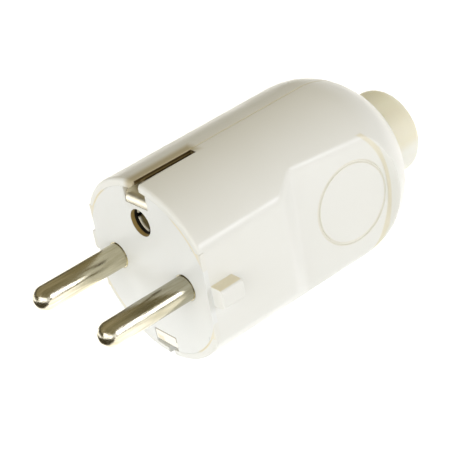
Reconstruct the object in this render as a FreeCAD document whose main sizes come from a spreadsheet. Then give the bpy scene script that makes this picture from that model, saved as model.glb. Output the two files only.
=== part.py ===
import FreeCAD, Part
import math
import os

import Sketcher

# A rewirable mains plug with round pins. The origin is the middle of the engagement face.
# The pins point along -Y, the body runs along +Y, X goes from pin to pin and Z is up.

driving = {
    # outside of the cover
    "body_radius": 18.2,
    "dome_rise": 0.25,
    "dome_length": 14.2,
    "tail_radius": 9.0,
    "rim_round": 0.7,
    "flat_wall": 2.0,
    "valley_run": 4.5,
    "valley_depth": 2.3,
    "valley_round": 2.5,
    "grip_length": 16.3,
    "grip_overrun": 5.7,
    "grip_sink": 3.5,
    "grip_end_radius": 17.6,
    "ring_radius": 8.0,
    "ring_inset": 9.2,
    "ring_line": 0.3,
    "guide_length": 6.0,
    "guide_height": 4.0,
    "guide_rise": 2.8,
    "guide_setback": 0.2,
    # inside of the cover
    "wall": 1.8,
    "rim_wall": 1.4,
    "ledge_width": 1.7,
    "ledge_depth": 1.5,
    "rib_height": 1.0,
    "rib_width": 1.8,
    "rib_place": 5.0,
    "slot_width": 2.8,
    "slot_length": 13.5,
    # insert with the face
    "carrier_side": 0.5,
    "carrier_depth": 11.0,
    "ear_inset": 0.6,
    "ear_depth": 1.0,
    "plate_thickness": 1.6,
    "plate_inset": 0.2,
    "plate_screw_side": 7.5,
    "plate_screw_room": 0.4,
    # pins
    "pin_radius": 2.4,
    "pin_reach": 19.0,
    "pin_spacing": 19.0,
    "shank_step": 0.2,
    "collar_step": 0.4,
    "collar_depth": 1.2,
    "barrel_radius": 3.1,
    "barrel_length": 8.5,
    "barrel_room": 0.3,
    "wire_radius": 1.7,
    "wire_depth": 7.0,
    "terminal_room": 0.3,
    # earth contacts
    "strip_width": 6.0,
    "strip_thickness": 1.0,
    "strip_gap": 0.2,
    "strip_setback": 0.4,
    "strip_nose": 0.9,
    "bridge_width": 9.0,
    "earth_rise": 10.0,
    "mouth_gap": 0.25,
    "socket_bore": 2.45,
    "socket_wall": 0.45,
    "socket_setback": 1.6,
    "socket_tail": 2.8,
    "socket_collar": 0.9,
    "slit_width": 0.9,
    "slit_length": 9.0,
    "spring_place": 5.5,
    "spring_width": 2.4,
    "spring_thickness": 0.3,
    "spring_room": 0.4,
    "earth_screw_drop": 3.0,
    "washer_width": 7.0,
    "washer_thickness": 1.0,
    "nut_width": 5.6,
    # screws
    "terminal_screw_radius": 1.5,
    "terminal_head_radius": 2.6,
    "terminal_head_height": 1.8,
    "small_screw_radius": 1.1,
    "small_head_radius": 2.1,
    "small_head_height": 1.4,
    "small_screw_length": 7.0,
    "clamp_screw_radius": 1.3,
    "clamp_head_radius": 2.6,
    "clamp_head_height": 1.9,
    "clamp_screw_length": 12.0,
    "cover_screw_radius": 1.5,
    "cover_head_radius": 2.8,
    "cover_head_height": 2.0,
    "cover_screw_length": 14.0,
    "drive_width": 0.8,
    "drive_depth": 0.9,
    # what holds the cord and the halves
    "post_wall": 0.8,
    "post_inset": 1.2,
    "cover_post_run": 4.0,
    "head_seat": 7.0,
    "insert_wall": 0.9,
    "insert_length": 6.5,
    "clamp_inset": 1.3,
    "clamp_width": 6.0,
    "clamp_room": 0.8,
    "clamp_thickness": 2.3,
    "clamp_overhang": 2.8,
    "clamp_bite": 0.3,
    "cord_radius": 4.2,
    # soft sleeve
    "sleeve_inset": 0.3,
    "sleeve_length": 8.0,
    "sleeve_round": 2.6,
    "neck_depth": 1.1,
    "flange_rise": 2.4,
    "sleeve_flange_depth": 2.0,
    "tail_wall": 2.3,
    # fits
    "fit_gap": 0.1,
    "screw_gap": 0.1,
    "tip_room": 0.5,
}

doc = FreeCAD.newDocument("plug")
sheet = doc.addObject("Spreadsheet::Sheet", "sizes")


class Size:
    # A length that knows its number and the cells it comes from.
    def __init__(self, value, text):
        self.value = value
        self.text = text

    def __add__(self, other):
        other = as_size(other)
        return Size(self.value + other.value, f"({self.text} + {other.text})")

    def __sub__(self, other):
        other = as_size(other)
        return Size(self.value - other.value, f"({self.text} - {other.text})")

    def __mul__(self, other):
        other = as_size(other)
        return Size(self.value * other.value, f"({self.text} * {other.text})")

    def __truediv__(self, other):
        other = as_size(other)
        return Size(self.value / other.value, f"({self.text} / {other.text})")

    def __neg__(self):
        return Size(-self.value, f"(-{self.text})")


def as_size(value):
    if isinstance(value, Size):
        return value
    return Size(value, str(value))


def fill_sheet():
    cells = {}
    for row, (name, value) in enumerate(driving.items(), start=1):
        cell = f"B{row}"
        sheet.set(f"A{row}", name)
        sheet.set(cell, str(value))
        sheet.setAlias(cell, name)
        cells[name] = Size(value, f"sizes.{name}")
    doc.recompute()
    return cells


dim = fill_sheet()
zero = as_size(0)
along_x = FreeCAD.Rotation(FreeCAD.Vector(0, 1, 0), 90)
along_y = FreeCAD.Rotation(FreeCAD.Vector(1, 0, 0), -90)
along_z = FreeCAD.Rotation()
sides = {"right": 1, "left": -1}


def origin_plane(body, role):
    return [plane for plane in body.Origin.OriginFeatures if plane.Role == role][0]


def new_body(name):
    return doc.addObject("PartDesign::Body", name)


def bind(item, prop, length):
    item.setExpression(prop, as_size(length).text)


def place(item, spot, rotation=along_z):
    item.Placement = FreeCAD.Placement(FreeCAD.Vector(), rotation)
    for axis, length in zip("xyz", spot):
        bind(item, f"Placement.Base.{axis}", length)


def vector(pair):
    return FreeCAD.Vector(as_size(pair[0]).value, as_size(pair[1]).value, 0)


def draw_side(start, end, centre):
    # One side of an outline: a line, or the shorter arc about centre. Says too if the arc runs backwards.
    if centre is None:
        return Part.LineSegment(start, end), False
    first = math.atan2(start.y - centre.y, start.x - centre.x)
    last = math.atan2(end.y - centre.y, end.x - centre.x)
    circle = Part.Circle(centre, FreeCAD.Vector(0, 0, 1), (start - centre).Length)
    turn = (last - first) % (2 * math.pi)
    if turn <= math.pi:
        return Part.ArcOfCircle(circle, first, first + turn), False
    return Part.ArcOfCircle(circle, last, last + 2 * math.pi - turn), True


def tie(sketch, side, point, kind, length):
    # Sets one coordinate of a point from the sheet.
    length = as_size(length)
    rule = sketch.addConstraint(Sketcher.Constraint(kind, side, point, length.value))
    sketch.setExpression(f"Constraints[{rule}]", length.text)


def drawn(body, role, points, arc=None, centre=None, free=""):
    # Closed outline through points. Side number arc is round about centre, and decides what free names.
    # Where that is the centre itself, the side before runs into the arc without a corner.
    sketch = body.newObject("Sketcher::SketchObject", f"{body.Name}_outline")
    sketch.AttachmentSupport = [(origin_plane(body, role), "")]
    sketch.MapMode = "FlatFace"
    count = len(points)
    first = [1] * count
    last = [2] * count
    for side in range(count):
        middle = vector(centre) if side == arc else None
        shape, backwards = draw_side(vector(points[side]), vector(points[(side + 1) % count]), middle)
        sketch.addGeometry(shape)
        if backwards:
            first[side], last[side] = 2, 1
    for side in range(count):
        after = (side + 1) % count
        smooth = after == arc and free == "centre"
        joint = "Tangent" if smooth else "Coincident"
        sketch.addConstraint(Sketcher.Constraint(joint, side, last[side], after, first[after]))
    for side, pair in enumerate(points):
        for kind, length in zip(("DistanceX", "DistanceY"), pair):
            ends_arc = arc is not None and side == (arc + 1) % count
            if not (ends_arc and free == f"end {kind}"):
                tie(sketch, side, first[side], kind, length)
    if arc is not None and free != "centre":
        for kind, length in zip(("DistanceX", "DistanceY"), centre):
            tie(sketch, arc, 3, kind, length)
    return sketch


def revolved(name, points, angle=360, **round_side):
    # Turns an outline in the XY plane about the Y axis, half to each side of that plane.
    body = new_body(name)
    sketch = drawn(body, "XY_Plane", points, **round_side)
    turned = body.newObject("PartDesign::Revolution", f"{name}_turned")
    turned.Profile = sketch
    turned.ReferenceAxis = (sketch, ["V_Axis"])
    turned.Angle = angle
    turned.Midplane = angle < 360
    doc.recompute()
    return body


def padded(name, role, points, length, **round_side):
    # Pads an outline by half the length to each side of its plane.
    body = new_body(name)
    sketch = drawn(body, role, points, **round_side)
    pad = body.newObject("PartDesign::Pad", f"{name}_pad")
    pad.Profile = sketch
    pad.SideType = "Symmetric"
    bind(pad, "Length", length)
    doc.recompute()
    return body


def round_edges(body, radius, wanted):
    # Rounds the edges of a body's last feature that the test picks.
    base = body.Tip
    names = [f"Edge{index}" for index, edge in enumerate(base.Shape.Edges, start=1) if wanted(edge)]
    rounding = body.newObject("PartDesign::Fillet", f"{base.Name}_round")
    rounding.Base = (base, names)
    bind(rounding, "Radius", radius)
    doc.recompute()
    return body


def cylinder(name, radius, length, spot, rotation):
    item = doc.addObject("Part::Cylinder", name)
    bind(item, "Radius", radius)
    bind(item, "Height", length)
    place(item, spot, rotation)
    return item


def box(name, lengths, spot):
    item = doc.addObject("Part::Box", name)
    for prop, length in zip(("Length", "Width", "Height"), lengths):
        bind(item, prop, length)
    place(item, spot)
    return item


def fuse(name, items):
    item = doc.addObject("Part::MultiFuse", name)
    item.Shapes = items
    item.Refine = True
    return item


def common(name, items):
    item = doc.addObject("Part::MultiCommon", name)
    item.Shapes = items
    return item


def cut(name, base, tools):
    item = doc.addObject("Part::Cut", name)
    item.Base = base
    item.Tool = tools[0] if len(tools) == 1 else fuse(f"{name}_tools", tools)
    return item


def group(name, items):
    item = doc.addObject("Part::Compound", name)
    item.Links = items
    return item


def near(value, target, slack=0.01):
    return abs(value - target) < slack


def chord(radius, depth):
    # Half the width of a circle at that depth from its middle.
    value = math.sqrt(radius.value ** 2 - depth.value ** 2)
    return Size(value, f"sqrt({radius.text} * {radius.text} - {depth.text} * {depth.text})")


# Places along the plug. Cutters reach past a surface by one wall.
past = dim["wall"]
plate_back = dim["carrier_depth"] + dim["plate_thickness"]
bridge_back = plate_back + dim["strip_thickness"]
ledge_front = plate_back + dim["fit_gap"]
ledge_back = ledge_front + dim["ledge_depth"]
terminal_place = plate_back + dim["terminal_head_radius"] + dim["terminal_room"]
barrel_back = dim["carrier_depth"] + dim["barrel_length"]
valley_place = barrel_back + dim["valley_run"]
cover_post_place = valley_place + dim["cover_post_run"]
dome_place = valley_place + dim["grip_length"]
clamp_place = dome_place - dim["clamp_inset"]
grip_end = dome_place + dim["grip_overrun"]
grip_middle = grip_end - dim["grip_end_radius"]
ring_place = grip_end - dim["ring_inset"]
body_length = dome_place + dim["dome_length"]
tail_face = body_length - dim["tail_wall"]
flange_front = tail_face - dim["sleeve_flange_depth"]

# Widths from the middle outwards
pin_side = dim["pin_spacing"] / 2
shank_radius = dim["pin_radius"] + dim["shank_step"]
collar_radius = dim["barrel_radius"] + dim["collar_step"]
carrier_half_width = pin_side + collar_radius + dim["carrier_side"]
flat_half_width = carrier_half_width + dim["fit_gap"] + dim["flat_wall"]
valley_half_width = flat_half_width - dim["valley_depth"]
dome_radius = dim["body_radius"] + dim["dome_rise"]
grip_half_width = dome_radius - dim["grip_sink"]
grip_slope = (grip_half_width - valley_half_width) / (grip_end - valley_place)
guide_reach = flat_half_width + dim["guide_rise"]

# Radii about the middle line
seat_radius = dim["body_radius"] - dim["rim_wall"]
carrier_radius = seat_radius - dim["fit_gap"]
ledge_radius = seat_radius - dim["ledge_width"]
ear_half_height = chord(dim["body_radius"], flat_half_width) - dim["ear_inset"]
plate_screw_reach = ledge_radius - dim["small_head_radius"] - dim["plate_screw_room"]
plate_screw_rise = chord(plate_screw_reach, dim["plate_screw_side"])
sleeve_radius = dim["tail_radius"] - dim["sleeve_inset"]
neck_radius = sleeve_radius - dim["neck_depth"]
flange_radius = neck_radius + dim["flange_rise"]

# Earth contacts, screws and posts
socket_outer = dim["socket_bore"] + dim["socket_wall"]
spring_outer = socket_outer + dim["spring_thickness"]
strip_seat = dim["earth_rise"] + spring_outer + dim["strip_gap"]
strip_top = strip_seat + dim["strip_thickness"]
insert_radius = dim["cover_screw_radius"] + dim["insert_wall"]
post_radius = insert_radius + dim["post_wall"]
head_post_radius = dim["cover_head_radius"] + dim["screw_gap"] * 2 + dim["post_wall"]
cover_post_rise = chord(dome_radius - dim["wall"], valley_half_width) - dim["post_inset"]
clamp_face = dim["cord_radius"] - dim["clamp_bite"]
clamp_rise = dim["cord_radius"] + post_radius + dim["clamp_room"]


def grip_floor(along):
    # How far out the grip's sloping floor lies at a place along the plug.
    return valley_half_width + grip_slope * (along - valley_place)


def turned_form():
    # Right half of the round outside: a slight taper that runs into the rear dome.
    points = [
        (zero, zero),
        (dim["body_radius"], zero),
        (dome_radius, dome_place),
        (dim["tail_radius"], body_length),
        (zero, body_length),
    ]
    taper = (vector(points[2]) - vector(points[1])).normalize()
    inward = FreeCAD.Vector(-taper.y, taper.x, 0)
    fall = vector(points[3]) - vector(points[2])
    middle = vector(points[2]) + inward * (fall.dot(fall) / (2 * fall.dot(inward)))
    form = revolved("turned_form", points, angle=180, arc=2, centre=(middle.x, middle.y), free="centre")
    return round_edges(form, dim["rim_round"], is_rim)


def grip_cutter():
    # What lies outside the right flat, the valley and the grip, up to the grip's round rear wall.
    reach = dome_radius + past
    plan = [
        (flat_half_width, -past),
        (flat_half_width, barrel_back),
        (valley_half_width, valley_place),
        (grip_floor(grip_end + past), grip_end + past),
        (reach, grip_end + past),
        (reach, -past),
    ]
    sweep = padded("side_cutter", "XY_Plane", plan, reach * 2)
    bends = [barrel_back.value, valley_place.value]

    def is_bend(edge):
        upright = near(edge.tangentAt(edge.FirstParameter).z ** 2, 1)
        return upright and any(near(edge.CenterOfMass.y, bend) for bend in bends)

    round_edges(sweep, dim["valley_round"], is_bend)
    radius = dim["grip_end_radius"]
    side_view = [(-past, -radius), (grip_middle, -radius), (grip_middle, radius), (-past, radius)]
    wall = padded("grip_wall", "YZ_Plane", side_view, reach * 2,
                  arc=1, centre=(grip_middle, zero), free="end DistanceY")
    return common("grip_cutter", [sweep, wall])


def cover_form():
    # Right half of the outside: the round form with its flat, valley and grip cut away.
    return cut("cover_form", turned_form(), [grip_cutter()])


def mirrored(name, item):
    # The same form on the left of the middle.
    twin = doc.addObject("Part::Mirroring", name)
    twin.Source = item
    twin.Normal = FreeCAD.Vector(1, 0, 0)
    return twin


def is_rim(edge):
    # Front edge of the cover's outside.
    spots = edge.discretize(Number=7)
    on_split = all(near(spot.x, 0) for spot in spots)
    return all(near(spot.y, 0) for spot in spots) and not on_split


def cavity():
    # The room inside both halves: seat, rib and ledge for the insert, then the hollow of the grip.
    inner_dome = dome_radius - dim["wall"]
    flange_seat = flange_radius + dim["fit_gap"]
    rib_back = dim["rib_place"] + dim["rib_width"]
    points = [
        (zero, -past),
        (seat_radius, -past),
        (seat_radius, dim["rib_place"]),
        (seat_radius - dim["rib_height"], dim["rib_place"]),
        (seat_radius - dim["rib_height"], rib_back),
        (seat_radius, rib_back),
        (seat_radius, ledge_front),
        (ledge_radius, ledge_front),
        (ledge_radius, ledge_back),
        (inner_dome, ledge_back),
        (inner_dome, dome_place),
        (flange_seat, flange_front - dim["fit_gap"]),
        (flange_seat, tail_face),
        (neck_radius, tail_face),
        (neck_radius, body_length + past),
        (zero, body_length + past),
    ]
    room = revolved("room", points)
    tools = []
    for side in sides:
        reach = dome_radius + past
        height = reach * 2
        tools.append(padded(f"room_side_{side}", "XY_Plane", room_side(side, reach), height))
    return cut("cavity", room, tools)


def room_side(side, reach):
    factor = sides[side]
    seat = carrier_half_width + dim["fit_gap"]
    return [
        (seat * factor, -past * 2),
        (seat * factor, barrel_back + dim["barrel_room"]),
        ((valley_half_width - dim["wall"]) * factor, valley_place),
        ((grip_half_width - dim["wall"]) * factor, grip_end),
        ((grip_half_width - dim["wall"]) * factor, tail_face),
        (reach * factor, tail_face),
        (reach * factor, -past * 2),
    ]


def earth_slots(name):
    # Slots over the two earth strips and the channels under them.
    tools = []
    channel = dim["strip_width"] + dim["fit_gap"] * 2
    for part, width, length, high in (
        ("slot", dim["slot_width"], dim["slot_length"], dim["body_radius"] + past),
        ("channel", channel, ledge_back, seat_radius),
    ):
        for level, start in (("top", strip_seat), ("bottom", -high)):
            spot = (-width / 2, -past, start)
            tools.append(box(f"{name}_{part}_{level}", (width, length + past, high - strip_seat), spot))
    return tools


def ear_notch(side):
    # Gap in the front edge of the flat where the insert's ear lies.
    height = (ear_half_height + dim["fit_gap"]) * 2
    width = flat_half_width + dim["fit_gap"] - carrier_half_width
    start = carrier_half_width if side == "right" else -carrier_half_width - width
    lengths = (width, dim["ear_depth"] + past + dim["fit_gap"], height)
    return box(f"ear_notch_{side}", lengths, (start, -past, -height / 2))


def guide(side):
    # Guide rib on the flat.
    width = guide_reach - carrier_half_width - dim["wall"] / 2
    start = guide_reach - width if side == "right" else -guide_reach
    spot = (start, dim["guide_setback"], -dim["guide_height"] / 2)
    return box(f"guide_{side}", (width, dim["guide_length"], dim["guide_height"]), spot)


def grip_ring(side):
    # Fine round groove in the grip, square to its slope.
    ring = doc.addObject("Part::Torus", f"ring_{side}")
    bind(ring, "Radius1", dim["ring_radius"])
    bind(ring, "Radius2", dim["ring_line"])
    tilt = math.degrees(math.atan(grip_slope.value)) * sides[side]
    turn = FreeCAD.Rotation(FreeCAD.Vector(0, 0, 1), -tilt).multiply(along_x)
    place(ring, (grip_floor(ring_place) * sides[side], ring_place, zero), turn)
    return ring


def post_pair(name, radius, start, length, along, rise):
    # Two round posts or bores along X, above and below the middle.
    pair = []
    for level, height in (("top", rise), ("bottom", -rise)):
        pair.append(cylinder(f"{name}_{level}", radius, length, (start, along, height), along_x))
    return pair


def right_shell(form, room):
    inner = grip_floor(cover_post_place) - dim["wall"] / 2
    cover_posts = post_pair("cover_post_right", post_radius, zero, inner,
                            cover_post_place, cover_post_rise)
    clamp_inner = grip_floor(clamp_place) - dim["wall"] / 2 + clamp_face
    clamp_posts = post_pair("clamp_post", post_radius, -clamp_face, clamp_inner,
                            clamp_place, clamp_rise)
    insert_bores = post_pair("insert_bore", insert_radius + dim["fit_gap"] / 2, -past,
                             dim["insert_length"] + past, cover_post_place, cover_post_rise)
    tip_bores = post_pair("tip_bore", dim["cover_screw_radius"] + dim["screw_gap"], zero,
                          dim["cover_screw_length"] - dim["head_seat"] + dim["tip_room"],
                          cover_post_place, cover_post_rise)
    clamp_bores = post_pair("clamp_bore", dim["clamp_screw_radius"] + dim["screw_gap"], -clamp_face - past,
                            dim["clamp_screw_length"] + past, clamp_place, clamp_rise)
    hollow = cut("hollow_right", form, [room])
    tools = earth_slots("right") + [ear_notch("right"), grip_ring("right")]
    solid = fuse("posts_right", [hollow, guide("right")] + cover_posts + clamp_posts)
    return cut("shell_right", solid, tools + insert_bores + tip_bores + clamp_bores)


def left_shell(form, room):
    inner = grip_floor(cover_post_place) - dim["wall"] / 2
    cover_posts = post_pair("cover_post_left", head_post_radius, -inner, inner,
                            cover_post_place, cover_post_rise)
    head_bores = post_pair("head_bore", dim["cover_head_radius"] + dim["screw_gap"] * 2,
                           -dim["body_radius"] - past,
                           dim["body_radius"] + past - dim["head_seat"],
                           cover_post_place, cover_post_rise)
    shank_bores = post_pair("shank_bore", dim["cover_screw_radius"] + dim["screw_gap"], -dim["body_radius"],
                            dim["body_radius"] + past, cover_post_place, cover_post_rise)
    hollow = cut("hollow_left", mirrored("form_left", form), [room])
    tools = earth_slots("left") + [ear_notch("left"), grip_ring("left")]
    solid = fuse("posts_left", [hollow, guide("left")] + cover_posts)
    return cut("shell_left", solid, tools + head_bores + shank_bores)


def carrier():
    # Round insert with flat sides, an ear at each side of the face, and bores for pins and earth contact.
    groove_radius = seat_radius - dim["rib_height"] - dim["fit_gap"]
    groove_front = dim["rib_place"] - dim["fit_gap"]
    groove_back = dim["rib_place"] + dim["rib_width"] + dim["fit_gap"]
    points = [
        (zero, zero),
        (carrier_radius, zero),
        (carrier_radius, groove_front),
        (groove_radius, groove_front),
        (groove_radius, groove_back),
        (carrier_radius, groove_back),
        (carrier_radius, dim["carrier_depth"]),
        (zero, dim["carrier_depth"]),
    ]
    puck = revolved("puck", points)
    width = carrier_half_width * 2
    height = carrier_radius * 2
    waist = box("waist", (width, dim["carrier_depth"], height),
                (-carrier_half_width, zero, -height / 2))
    trimmed = common("trimmed_puck", [puck, waist])
    ears = box("ears", (flat_half_width * 2, dim["ear_depth"], ear_half_height * 2),
               (-flat_half_width, zero, -ear_half_height))
    tools = []
    depth = dim["carrier_depth"] + past * 2
    for side, factor in sides.items():
        spot = (pin_side * factor, -past, zero)
        tools.append(cylinder(f"pin_bore_{side}", shank_radius + dim["fit_gap"] / 2, depth, spot, along_y))
        spot = (pin_side * factor, dim["carrier_depth"] - dim["collar_depth"], zero)
        tools.append(cylinder(f"collar_bore_{side}", collar_radius + dim["fit_gap"],
                              dim["collar_depth"] + past, spot, along_y))
        spot = (dim["plate_screw_side"] * factor, plate_back - dim["small_screw_length"] - dim["tip_room"],
                plate_screw_rise * factor)
        tools.append(cylinder(f"plate_screw_bore_{side}", dim["small_screw_radius"] + dim["screw_gap"],
                              dim["small_screw_length"] + past, spot, along_y))
    tools.append(cylinder("earth_mouth", dim["socket_bore"] + dim["mouth_gap"], depth,
                          (zero, -past, dim["earth_rise"]), along_y))
    tools.append(cylinder("earth_room", spring_outer + dim["spring_room"], depth,
                          (zero, dim["socket_setback"] - dim["fit_gap"], dim["earth_rise"]), along_y))
    tools.append(cylinder("earth_screw_room", dim["terminal_screw_radius"] + dim["screw_gap"] * 3, depth,
                          (zero, dim["carrier_depth"] / 2, -dim["earth_screw_drop"]), along_y))
    channel = dim["strip_width"] + dim["fit_gap"] * 2
    for level, start in (("top", strip_seat), ("bottom", -strip_seat - carrier_radius)):
        tools.append(box(f"strip_seat_{level}", (channel, depth, carrier_radius),
                         (-channel / 2, -past, start)))
    return cut("pin_carrier", fuse("eared_puck", [trimmed, ears]), tools)


def plate():
    # Plate behind the insert, with openings for the pin barrels, the earth contact and the nut.
    disc = cylinder("plate_disc", carrier_radius - dim["plate_inset"], dim["plate_thickness"],
                    (zero, dim["carrier_depth"], zero), along_y)
    width = carrier_half_width * 2
    height = (strip_seat - dim["fit_gap"]) * 2
    trim = box("plate_trim", (width, dim["plate_thickness"], height),
               (-carrier_half_width, dim["carrier_depth"], -height / 2))
    start = dim["carrier_depth"] - past
    depth = dim["plate_thickness"] + past * 2
    tools = []
    for side, factor in sides.items():
        tools.append(cylinder(f"barrel_opening_{side}", dim["barrel_radius"] + dim["fit_gap"], depth,
                              (pin_side * factor, start, zero), along_y))
        spot = (dim["plate_screw_side"] * factor, start, plate_screw_rise * factor)
        tools.append(cylinder(f"plate_screw_opening_{side}", dim["small_screw_radius"] + dim["screw_gap"],
                              depth, spot, along_y))
    tools.append(cylinder("socket_opening", socket_outer + dim["fit_gap"], depth,
                          (zero, start, dim["earth_rise"]), along_y))
    window = dim["nut_width"] + dim["fit_gap"] * 2
    tools.append(box("nut_window", (window, depth, window),
                     (-window / 2, start, -dim["earth_screw_drop"] - window / 2)))
    return cut("back_plate", common("plate_blank", [disc, trim]), tools)


def pin(side):
    # Turned pin: rounded nose, thicker shank, collar and a barrel with a wire bore and a cross hole.
    factor = sides[side]
    name = f"pin_{side}"
    collar_front = dim["carrier_depth"] - dim["collar_depth"]
    nose = dim["pin_radius"] - dim["pin_reach"]
    points = [
        (zero, -dim["pin_reach"]),
        (dim["pin_radius"], nose),
        (dim["pin_radius"], zero),
        (shank_radius, zero),
        (shank_radius, collar_front),
        (collar_radius, collar_front),
        (collar_radius, dim["carrier_depth"]),
        (dim["barrel_radius"], dim["carrier_depth"]),
        (dim["barrel_radius"], barrel_back),
        (dim["wire_radius"], barrel_back),
        (dim["wire_radius"], barrel_back - dim["wire_depth"]),
        (zero, barrel_back - dim["wire_depth"]),
    ]
    turned = revolved(f"turned_{side}", points, arc=0, centre=(zero, nose), free="end DistanceX")
    place(turned, (pin_side * factor, zero, zero))
    hole = cylinder(f"cross_hole_{side}", dim["terminal_screw_radius"] + dim["screw_gap"] / 2,
                    dim["barrel_radius"] + past,
                    (pin_side * factor, terminal_place, zero), along_z)
    return cut(name, turned, [hole])


def bracket():
    # Strip bent to a U: a leg above, a bridge behind the plate and a leg below.
    side_view = [
        (dim["strip_setback"], strip_top),
        (bridge_back, strip_top),
        (bridge_back, -strip_top),
        (dim["strip_setback"], -strip_top),
        (dim["strip_setback"], -strip_seat),
        (plate_back, -strip_seat),
        (plate_back, strip_seat),
        (dim["strip_setback"], strip_seat),
    ]
    legs = padded("legs", "YZ_Plane", side_view, dim["strip_width"])

    def is_outer_edge(edge):
        middle = edge.CenterOfMass
        across = near(edge.tangentAt(edge.FirstParameter).x ** 2, 1)
        outer = near(abs(middle.z), strip_top.value)
        return across and outer

    round_edges(legs, dim["strip_nose"], is_outer_edge)
    height = strip_seat * 2 - dim["strip_width"] / 2
    bridge = box("bridge", (dim["bridge_width"], dim["strip_thickness"], height),
                 (-dim["bridge_width"] / 2, plate_back, -height / 2))
    start = plate_back - past
    depth = dim["strip_thickness"] + past * 2
    tools = [
        cylinder("socket_seat", socket_outer + dim["fit_gap"] / 2, depth,
                 (zero, start, dim["earth_rise"]), along_y),
        cylinder("earth_screw_hole", dim["terminal_screw_radius"] + dim["screw_gap"], depth,
                 (zero, start, -dim["earth_screw_drop"]), along_y),
    ]
    return cut("earth_bracket", fuse("bent_strip", [legs, bridge]), tools)


def socket():
    # Contact tube with four slits at its mouth and a collar against the bridge.
    collar_radius = socket_outer + dim["socket_collar"]
    collar_back = bridge_back + dim["socket_collar"]
    back = bridge_back + dim["socket_tail"]
    points = [
        (dim["socket_bore"], dim["socket_setback"]),
        (socket_outer, dim["socket_setback"]),
        (socket_outer, bridge_back),
        (collar_radius, bridge_back),
        (collar_radius, collar_back),
        (socket_outer, collar_back),
        (socket_outer, back),
        (dim["socket_bore"], back),
    ]
    tube = revolved("tube", points)
    place(tube, (zero, zero, dim["earth_rise"]))
    width = spring_outer * 2
    depth = dim["slit_length"] + past
    start = dim["socket_setback"] - past
    slits = [
        box("slit_across", (width, depth, dim["slit_width"]),
            (-width / 2, start, dim["earth_rise"] - dim["slit_width"] / 2)),
        box("slit_upright", (dim["slit_width"], depth, width),
            (-dim["slit_width"] / 2, start, dim["earth_rise"] - width / 2)),
    ]
    return cut("earth_socket", tube, slits)


def spring():
    # Open ring round the contact's fingers.
    points = [
        (socket_outer, dim["spring_place"]),
        (spring_outer, dim["spring_place"]),
        (spring_outer, dim["spring_place"] + dim["spring_width"]),
        (socket_outer, dim["spring_place"] + dim["spring_width"]),
    ]
    ring = revolved("ring_blank", points)
    place(ring, (zero, zero, dim["earth_rise"]))
    gap = box("ring_gap", (dim["slit_width"], dim["spring_width"] + past * 2, spring_outer + past),
              (-dim["slit_width"] / 2, dim["spring_place"] - past, dim["earth_rise"]))
    return cut("socket_spring", ring, [gap])


def screw(name, radius, length, head_radius, head_height, spot, rotation, outward):
    # Slotted screw. spot is the underside of the head, and outward is the way from there to the head's top.
    direction = rotation.multVec(FreeCAD.Vector(0, 0, 1))
    flip = direction.dot(FreeCAD.Vector(*outward)) < 0
    shank_start = []
    head_start = []
    for axis, length_at in zip(range(3), spot):
        step = outward[axis]
        shank_start.append(as_size(length_at) - length * step if not flip else as_size(length_at))
        head_start.append(as_size(length_at) if not flip else as_size(length_at) + head_height * step)
    shank = cylinder(f"{name}_shank", radius, length, shank_start, rotation)
    head = cylinder(f"{name}_head", head_radius, head_height, head_start, rotation)
    solid = fuse(f"{name}_solid", [shank, head])
    slot = doc.addObject("Part::Box", f"{name}_slot")
    axis = [index for index in range(3) if outward[index]][0]
    across = 2 if axis != 2 else 0
    lengths = [head_radius * 2 + past] * 3
    lengths[axis] = dim["drive_depth"] + past
    lengths[across] = dim["drive_width"]
    corner = []
    for index in range(3):
        middle = as_size(spot[index])
        if index == axis:
            top = middle + (head_height - dim["drive_depth"]) * outward[axis]
            corner.append(top if outward[axis] > 0 else top - lengths[axis])
        else:
            corner.append(middle - lengths[index] / 2)
    for prop, length_at in zip(("Length", "Width", "Height"), lengths):
        bind(slot, prop, length_at)
    place(slot, corner)
    return cut(name, solid, [slot])


def terminal_screws():
    items = []
    for side, factor in sides.items():
        spot = (pin_side * factor, terminal_place,
                dim["barrel_radius"] + dim["screw_gap"])
        length = dim["barrel_radius"] - dim["wire_radius"] / 2
        items.append(screw(f"terminal_screw_{side}", dim["terminal_screw_radius"], length,
                           dim["terminal_head_radius"], dim["terminal_head_height"],
                           spot, along_z, (0, 0, 1)))
    return group("terminal_screws", items)


def plate_screws():
    items = []
    for side, factor in sides.items():
        spot = (dim["plate_screw_side"] * factor, plate_back, plate_screw_rise * factor)
        items.append(screw(f"plate_screw_{side}", dim["small_screw_radius"], dim["small_screw_length"],
                           dim["small_head_radius"], dim["small_head_height"], spot, along_y, (0, 1, 0)))
    return group("plate_screws", items)


def earth_terminal():
    drop = -dim["earth_screw_drop"]
    seat = bridge_back + dim["washer_thickness"]
    length = seat - dim["carrier_depth"] + dim["plate_thickness"]
    screw("earth_terminal_screw", dim["terminal_screw_radius"], length, dim["terminal_head_radius"],
          dim["terminal_head_height"], (zero, seat, drop), along_y, (0, 1, 0))
    half = dim["washer_width"] / 2
    blank = box("washer_blank", (dim["washer_width"], dim["washer_thickness"], dim["washer_width"]),
                (-half, bridge_back, drop - half))
    hole = cylinder("washer_hole", dim["terminal_screw_radius"] + dim["screw_gap"],
                    dim["washer_thickness"] + past * 2, (zero, bridge_back - past, drop), along_y)
    cut("earth_terminal_washer", blank, [hole])
    half = dim["nut_width"] / 2
    blank = box("nut_blank", (dim["nut_width"], dim["plate_thickness"], dim["nut_width"]),
                (-half, dim["carrier_depth"], drop - half))
    hole = cylinder("nut_hole", dim["terminal_screw_radius"] + dim["screw_gap"] / 2,
                    dim["plate_thickness"] + past * 2, (zero, dim["carrier_depth"] - past, drop),
                    along_y)
    cut("earth_terminal_nut", blank, [hole])


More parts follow.
